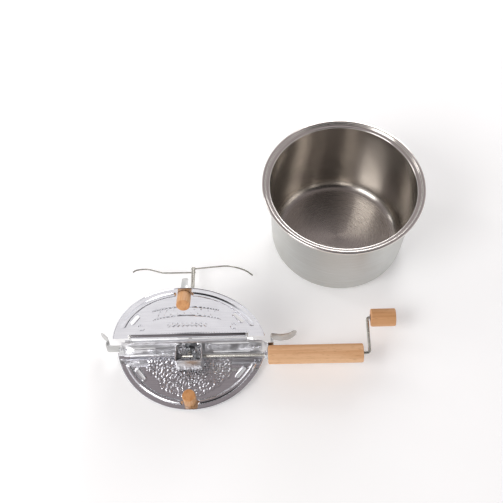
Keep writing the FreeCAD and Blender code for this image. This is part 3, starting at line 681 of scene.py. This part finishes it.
def ventCutter(side):
    # a stretched round bar: the punch that makes an oval vent
    deselectAll()
    bpy.ops.mesh.primitive_cylinder_add(vertices=32, radius=metres(leaf["ventWidth"] / 2.0),
                                        depth=metres(leaf["ventPunch"]))
    punch = bpy.context.object
    reach = metres(leaf["ventLength"] - leaf["ventWidth"]) / 2.0
    for end in (-1, 1):
        startEdit(punch, everything=False)    # nothing selected, and vertices are picked
        finishEdit()
        for vertex in punch.data.vertices:
            vertex.select = vertex.co.x * end > 1e-6
        bpy.ops.object.mode_set(mode="EDIT")
        bpy.ops.transform.translate(value=(end * reach, 0, 0))
        finishEdit()
    angle, middleX, middleY = ventPlace()
    turn = Matrix.Rotation(side * (angle - math.radians(90.0)), 4, "Z")
    return movedPiece(punch, turn, (side * middleX, middleY, 0.0))


def hemRing():
    # rolled hem: a thin bead bent round the rim
    offset = lidLie["hingeOffset"]
    radius = leaf["edgeR"] - leaf["hemR"]
    start = math.asin((leaf["wing"] + offset + leaf["hemStart"]) / radius)
    points = []
    for i in range(leaf["hemSteps"] + 1):
        angle = start + (math.pi - 2.0 * start) * i / leaf["hemSteps"]
        across, upward = radius * math.cos(angle), radius * math.sin(angle) - offset
        points.append(Vector((across, upward, -leaf["hemDrop"])))
    return wireAlong("hem", points, leaf["hemR"], 3)


def hingeBarrel():
    # the sheet's straight edge rolled round the hinge wire
    middle = leaf["wireR"] + leaf["wireFit"] + leaf["sheet"] / 2.0
    roll = [(leaf["cut"] + shift, lift) for shift, lift in leaf["rollLead"]]
    roll += arcPoints((0.0, 0.0), middle, leaf["rollFrom"], leaf["rollTo"], leaf["rollSteps"])
    piece = drawLine("barrel", [(-leaf["barrelHalf"], y, z) for y, z in roll])
    width = metres(2.0 * leaf["barrelHalf"])
    bpy.ops.mesh.extrude_region_move(TRANSFORM_OT_translate={"value": (width, 0, 0)})
    bpy.ops.mesh.select_all(action="SELECT")
    bpy.ops.mesh.normals_make_consistent(inside=False)
    finishEdit()
    applyModifier(piece, "SOLIDIFY", "sheet", thickness=metres(leaf["sheet"]), offset=0.0)
    return piece


def makeLeaf(which, lift):
    piece = leafGrid(which + "Sheet")
    for vertex in piece.data.vertices:
        x, y = vertex.co.x * 1000.0, vertex.co.y * 1000.0
        vertex.co.z = metres(max(beadLift(x, y), ventLift(x, y), lift(x, y)))
    applyModifier(piece, "SOLIDIFY", "sheet", thickness=metres(leaf["sheet"]), offset=0.0)
    for side in (-1, 1):
        punch = ventCutter(side)
        applyModifier(piece, "BOOLEAN", "vent", operation="DIFFERENCE", object=punch, solver="EXACT")
        bpy.data.objects.remove(punch)
    whole = joinPieces(which + "Leaf", [piece, hemRing(), hingeBarrel()])
    settle(whole, which + "LeafSheet", which + "_leaf", [which + "_half_lid"],
           [finish["leafSheet"]], leafMatrices[which], 30.0)
    print(which, "leaf made,", len(whole.data.polygons), "faces")


makeLeaf("upper", bannerLift)
makeLeaf("lower", cornLift)


# wooden pieces, turned round Z and then laid in place

wood = {
    "knobR": 10.0, "knobLength": 23.0, "knobSeat": 78.0, "knobEdge": 2.1,
    "knobHoleR": 2.0, "knobFoot": (0.5, 1.0), "knobSwell": 0.05,
    "handleR": 14.6, "handleLength": 143.8, "handleX": 119.6, "handleEdge": 2.3, "tubeR": 4.5,
    "handleFull": (24.0, 118.0), "handleWaist": 70.0, "waistDepth": 0.1,    # places along the handle
    "gripR": 13.9, "gripLength": 38.4, "gripEdge": 2.0, "gripRecessR": 6.4, "gripRecess": 5.0,
    "rodR": 2.4, "rodFit": 0.06,
}


def jointInLid(name):
    # a joint's place from the lid's middle, read from the frame
    return lidMatrix.inverted() @ Vector(joints[name]["pos_m"])


crankZ = jointInLid("crank_spin").z * 1000.0       # the crank's height above the hinge wires
gripStart = jointInLid("grip_spin") * 1000.0


def endGrain(piece):
    # the two cut ends take the second material
    for polygon in piece.data.polygons:
        polygon.material_index = 1 if abs(polygon.normal.z) > 0.8 else 0


def makeKnobs():
    radius, length = wood["knobR"], wood["knobLength"]
    footIn, footHigh = wood["knobFoot"]
    outline = [(wood["knobHoleR"], 0.0), (radius - footIn, 0.0), (radius, footHigh),
               (radius + wood["knobSwell"], length * 0.5), (radius, length), (0.0, length)]
    first = lathe("knob", outline, 64)
    softenEdges(first, wood["knobEdge"], 5, 60.0)
    endGrain(first)
    movedPiece(first, None, (0.0, wood["knobSeat"], leaf["sheet"] / 2.0))
    second = copyOf(first, "secondKnob")
    for piece, which in ((first, "upper"), (second, "lower")):
        settle(piece, which + "Knob", which + "_leaf", [which + "_lid_knob"],
               [finish["beechKnob"], finish["beechEnd"]], leafMatrices[which], 40.0)


def makeHandle():
    length, radius = wood["handleLength"], wood["handleR"]
    slim = radius - wood["waistDepth"]
    near, far = wood["handleFull"]
    outline = [(wood["tubeR"], 0.0), (slim, 0.0), (radius, near), (slim, wood["handleWaist"]),
               (radius, far), (slim, length), (wood["tubeR"], length)]
    piece = lathe("handleWood", outline + outline[:1], 72)
    softenEdges(piece, wood["handleEdge"], 5, 60.0)
    endGrain(piece)
    place = lidMatrix @ Matrix.Translation((metres(wood["handleX"]), 0, metres(crankZ))) @ alongX
    settle(piece, "handleWood", "lid_frame", ["handle"],
           [finish["beechHandle"], finish["beechEnd"]], place, 40.0)


def makeGrip():
    length, radius, recess = wood["gripLength"], wood["gripR"], wood["gripRecessR"]
    bore = wood["rodR"] + wood["rodFit"]
    recessFloor = length - wood["gripRecess"]
    outline = [(bore, 0.0), (radius, 0.0), (radius, length * 0.5), (radius, length),
               (recess, length), (recess, recessFloor), (bore, recessFloor)]
    piece = lathe("gripWood", outline + outline[:1], 72)
    softenEdges(piece, wood["gripEdge"], 5, 60.0)
    endGrain(piece)
    place = lidMatrix @ Matrix.Translation((metres(gripStart.x), 0, metres(gripStart.z))) @ alongX
    settle(piece, "crankGripWood", "crank_grip", ["crank_knob"],
           [finish["beechCrank"], finish["beechEnd"]], place, 40.0)


makeKnobs()
makeHandle()
makeGrip()
print("wood made")


# crank rod, stirrer and hinge wires

wires = {
    # crank: where it starts, how far it passes the handle, its bends, and its end inside the grip
    "crankStart": -22.0, "armOver": 10.0, "armBend": 5.0, "gripBend": 3.8, "endInGrip": 1.6,
    "crankEdge": 0.4,
    "stirR": 3.0, "stirLow": -144.3, "stirTop": 16.3, "stirEdge": 0.5,
    "armWire": 1.3, "armReach": 95.7, "armFoot": 1.0, "armGap": 7.4, "armThrough": 0.6, "armEdge": 0.5,
    # bends of each arm: part of its reach, sideways, above its root
    "long": [(0.5, 4.0, -1.0), (0.68, 2.0, -0.6), (0.87, -6.0, 1.0), (1.0, -14.0, 6.0)],
    "short": [(0.45, 0.5, 0.0), (0.56, 3.0, 0.0), (0.76, 12.0, 0.0), (0.93, 14.5, 3.0),
              (1.0, 14.0, 6.7)],
    # hinge wires: the ears outside the barrels, and the upset heads outside those
    "earGap": 0.6, "ear": 1.5, "headR": 3.3, "head": 1.3, "headEdge": 0.35,
}


def makeCrankRod():
    armX = wood["handleX"] + wood["handleLength"] + wires["armOver"]
    endX = gripStart.x + wood["gripLength"] - wires["endInGrip"]
    corners = [Vector((wires["crankStart"], 0, crankZ)), Vector((armX, 0, crankZ)),
               Vector((armX, 0, gripStart.z)), Vector((endX, 0, gripStart.z))]
    path = roundedPath(corners, [wires["armBend"], wires["gripBend"]], 10)
    piece = wireAlong("crankRod", path, wood["rodR"], 6)
    softenEdges(piece, wires["crankEdge"], 2, 60.0)
    settle(piece, "crankRodWire", "crank", ["crank_rod"],
           [finish["drawnWire"]], lidMatrix, 40.0)


def makeStirrer():
    radius, chamfer = wires["stirR"], wires["stirEdge"]
    low, top = wires["stirLow"], wires["stirTop"]
    outline = [(0.0, low), (radius - chamfer, low), (radius, low + chamfer),
               (radius, top - chamfer), (radius - chamfer, top), (0.0, top)]
    rod = lathe("stirRod", outline, 40)
    settle(rod, "stirRodBar", "stirrer", ["stir_rod"],
           [finish["drawnWire"]], lidMatrix, 40.0)
    longHeight = low + wires["armWire"] + wires["armFoot"]
    for name, side, height in (("long", 1, longHeight), ("short", -1, longHeight + wires["armGap"])):
        reach = side * wires["armReach"]
        points = [Vector((side * radius, 0, height))]
        points += [Vector((reach * part, across, height + lift)) for part, across, lift in wires[name]]
        # the wire goes through a hole in the rod and shows a little on the far side
        line = [Vector((-side * (radius + wires["armThrough"]), 0, height))] + smoothThrough(points)
        piece = wireAlong(name + "Arm", line, wires["armWire"], 5)
        softenEdges(piece, wires["armEdge"], 3, 60.0)
        settle(piece, name + "StirArm", "stirrer", [name + "_stir_wire"],
               [finish["drawnWire"]], lidMatrix, 40.0)


def makeHingeWires():
    outside = leaf["barrelHalf"] + wires["earGap"] + wires["ear"]
    end = outside + wires["head"]
    radius, headR = leaf["wireR"], wires["headR"]
    outline = [(0.0, -end), (headR, -end), (headR, -outside), (radius, -outside),
               (radius, outside), (headR, outside), (headR, end), (0.0, end)]
    first = lathe("hingeWire", outline, 36)
    softenEdges(first, wires["headEdge"], 2, 60.0)
    movedPiece(first, alongX, (0.0, lidLie["hingeOffset"], 0.0))
    second = copyOf(first, "secondWire")
    movedPiece(second, None, (0.0, -2.0 * lidLie["hingeOffset"], 0.0))
    pair = joinPieces("hingeWires", [first, second])
    settle(pair, "hingeWirePair", "lid_frame", ["hinge_wires"],
           [finish["drawnWire"]], lidMatrix, 40.0)


makeCrankRod()
makeStirrer()
makeHingeWires()
print("wires made")


# stamped and machined pieces: each edge is broken a little, as it leaves the shop

hardware = [
    # node, name, body, slot, finish, edge in mm
    ("crossbar", "crossbarPressing", "lid_frame", "plated_steel", "zincStrip", 0.3),
    ("gear_bracket", "gearBracketStrip", "lid_frame", "plated_steel", "zincStrip", 0.3),
    ("bracket_rivets", "bracketRivetHeads", "lid_frame", "plated_steel", "zincPlate", 0.15),
    ("crank_bushings", "crankBushPair", "lid_frame", "gear_metal", "gearSteel", 0.2),
    ("rod_bushing", "rodBush", "lid_frame", "gear_metal", "gearSteel", 0.2),
    ("handle_tube", "handleTubeSteel", "lid_frame", "rod_steel", "drawnWire", 0.2),
    ("tube_nut", "tubeNutHex", "lid_frame", "plated_steel", "zincPlate", 0.4),
    ("handle_clip", "handleClipSpring", "lid_frame", "spring_steel", "springStrip", 0.2),
    ("far_clip", "farClipSpring", "lid_frame", "spring_steel", "springStrip", 0.2),
    ("clip_rivets", "clipRivetHeads", "lid_frame", "plated_steel", "zincPlate", 0.15),
    ("crank_gear", "crankGearWheel", "crank", "gear_metal", "gearSteel", 0.18),
    ("crank_gear_pin", "crankGearPin", "crank", "rod_steel", "drawnWire", 0.15),
    ("crank_collar", "crankCollarRing", "crank", "gear_metal", "gearSteel", 0.4),
    ("knob_washers", "gripWashers", "crank", "plated_steel", "zincPlate", 0.2),
    ("stir_gear", "stirGearWheel", "stirrer", "gear_metal", "gearSteel", 0.18),
    ("stir_collar", "stirCollarRing", "stirrer", "gear_metal", "gearSteel", 0.4),
    ("upper_knob_screw", "upperKnobScrew", "upper_leaf", "plated_steel", "zincPlate", 0.2),
    ("lower_knob_screw", "lowerKnobScrew", "lower_leaf", "plated_steel", "zincPlate", 0.2),
    ("guide_tab", "guideTabStrip", "upper_leaf", "spring_steel", "springStrip", 0.2),
]


def makeHardware():
    for node, name, body, slotName, surface, edge in hardware:
        piece = softenedCopy(node, name, edge)
        settle(piece, name, body, [node], [finish[surface]], lidMatrix, 35.0)


makeHardware()
print("hardware made")


# floor, light and camera

studio = {
    "floor": [(0.3, "#f6f6f5"), (0.7, "#fafafa")], "floorSize": 14.0, "floorGlow": 0.2,
    # colour by height, from the horizon up to straight above
    "sky": [(0.0, "#ffffff"), (0.32, "#ececee"), (0.6, "#b9b4b5"), (0.84, "#9d9597"), (1.0, "#878080")],
    "skyStrength": 1.2,
    # the unlit part of the room: its direction, and how it fades in
    "darkSide": (0.25, -0.66, 0.708), "darkEdge": [(0.83, 1.0), (0.94, 0.06)],
    "patchScale": 2.4, "patches": [(0.42, 0.78), (0.58, 1.0)],
    # name, place, width and height, power
    "panels": [
        ("keyPanel", (-1.7, -1.3, 2.0), (1.3, 1.3), 27.0),
        ("backPanel", (0.5, 2.2, 1.5), (1.1, 1.4), 26.0),
        ("sidePanel", (-2.3, 0.9, 1.6), (0.35, 1.6), 8.0),
    ],
    "aim": (0.0, -0.1, 0.0),
    "lens": 65.54, "sensor": 36.0,
    "cameraPlace": (-0.14370, -0.82439, 1.30675), "cameraTurn": (31.27, 0.0, -0.06),
}


def makeFloor():
    deselectAll()
    bpy.ops.mesh.primitive_plane_add(size=studio["floorSize"])
    floor = bpy.context.object
    floor.name = "studioFloor"
    # matte white paper, lit so evenly that it glows a little
    material, tree, shader = newMaterial("matteWhiteSweep", Roughness=0.9,
                                         Emission_Strength=studio["floorGlow"])
    place = addNode(tree, "TexCoord").outputs["Object"]
    cloud = addNode(tree, "TexNoise", {"Scale": 3.0}, {"Vector": place})
    tone = ramp(tree, cloud.outputs["Fac"], studio["floor"])
    tree.links.new(tone.outputs["Color"], shader.inputs["Base Color"])
    tree.links.new(tone.outputs["Color"], shader.inputs["Emission Color"])
    floor.data.materials.append(material)


def makeWorld():
    # pale walls all round, a greyer ceiling, and one dark side that the steel reflects
    world = bpy.data.worlds.new("softStudio")
    bpy.context.scene.world = world
    world.use_nodes = True
    tree = world.node_tree
    tree.nodes.clear()
    direction = addNode(tree, "TexCoord").outputs["Generated"]
    parts = addNode(tree, "SeparateXYZ", feeds={"Vector": direction})
    sky = ramp(tree, parts.outputs["Z"], studio["sky"])
    facing = addNode(tree, "VectorMath", {1: studio["darkSide"]}, {0: direction},
                     operation="DOT_PRODUCT")
    dark = ramp(tree, facing.outputs["Value"], studio["darkEdge"])
    patches = addNode(tree, "TexNoise", {"Scale": studio["patchScale"], "Detail": 1.0},
                      {"Vector": direction})
    uneven = ramp(tree, patches.outputs["Fac"], studio["patches"])
    first = addNode(tree, "Mix", {"Factor": 1.0}, data_type="RGBA", blend_type="MULTIPLY")
    tree.links.new(sky.outputs["Color"], first.inputs["A"])
    tree.links.new(dark.outputs["Color"], first.inputs["B"])
    second = addNode(tree, "Mix", {"Factor": 1.0}, data_type="RGBA", blend_type="MULTIPLY")
    tree.links.new(first.outputs["Result"], second.inputs["A"])
    tree.links.new(uneven.outputs["Color"], second.inputs["B"])
    back = addNode(tree, "Background", {"Strength": studio["skyStrength"]},
                   {"Color": second.outputs["Result"]})
    addNode(tree, "OutputWorld", feeds={"Surface": back.outputs["Background"]})


def makeLights():
    for name, place, size, power in studio["panels"]:
        lamp = bpy.data.lights.new(name, "AREA")
        lamp.shape = "RECTANGLE"
        lamp.size, lamp.size_y = size
        lamp.energy = power
        holder = bpy.data.objects.new(name, lamp)
        holder.location = place
        aim = Vector(studio["aim"]) - Vector(place)
        holder.rotation_euler = aim.to_track_quat("-Z", "Y").to_euler()
        bpy.context.scene.collection.objects.link(holder)


def makeCamera():
    camera = bpy.data.cameras.new("studioCamera")
    camera.sensor_width = studio["sensor"]
    camera.lens = studio["lens"]
    holder = bpy.data.objects.new("studioCamera", camera)
    holder.location = studio["cameraPlace"]
    holder.rotation_euler = [math.radians(angle) for angle in studio["cameraTurn"]]
    bpy.context.scene.collection.objects.link(holder)
    bpy.context.scene.camera = holder


makeFloor()
makeWorld()
makeLights()
makeCamera()
bpy.context.scene.view_settings.view_transform = "Standard"
print("studio ready")
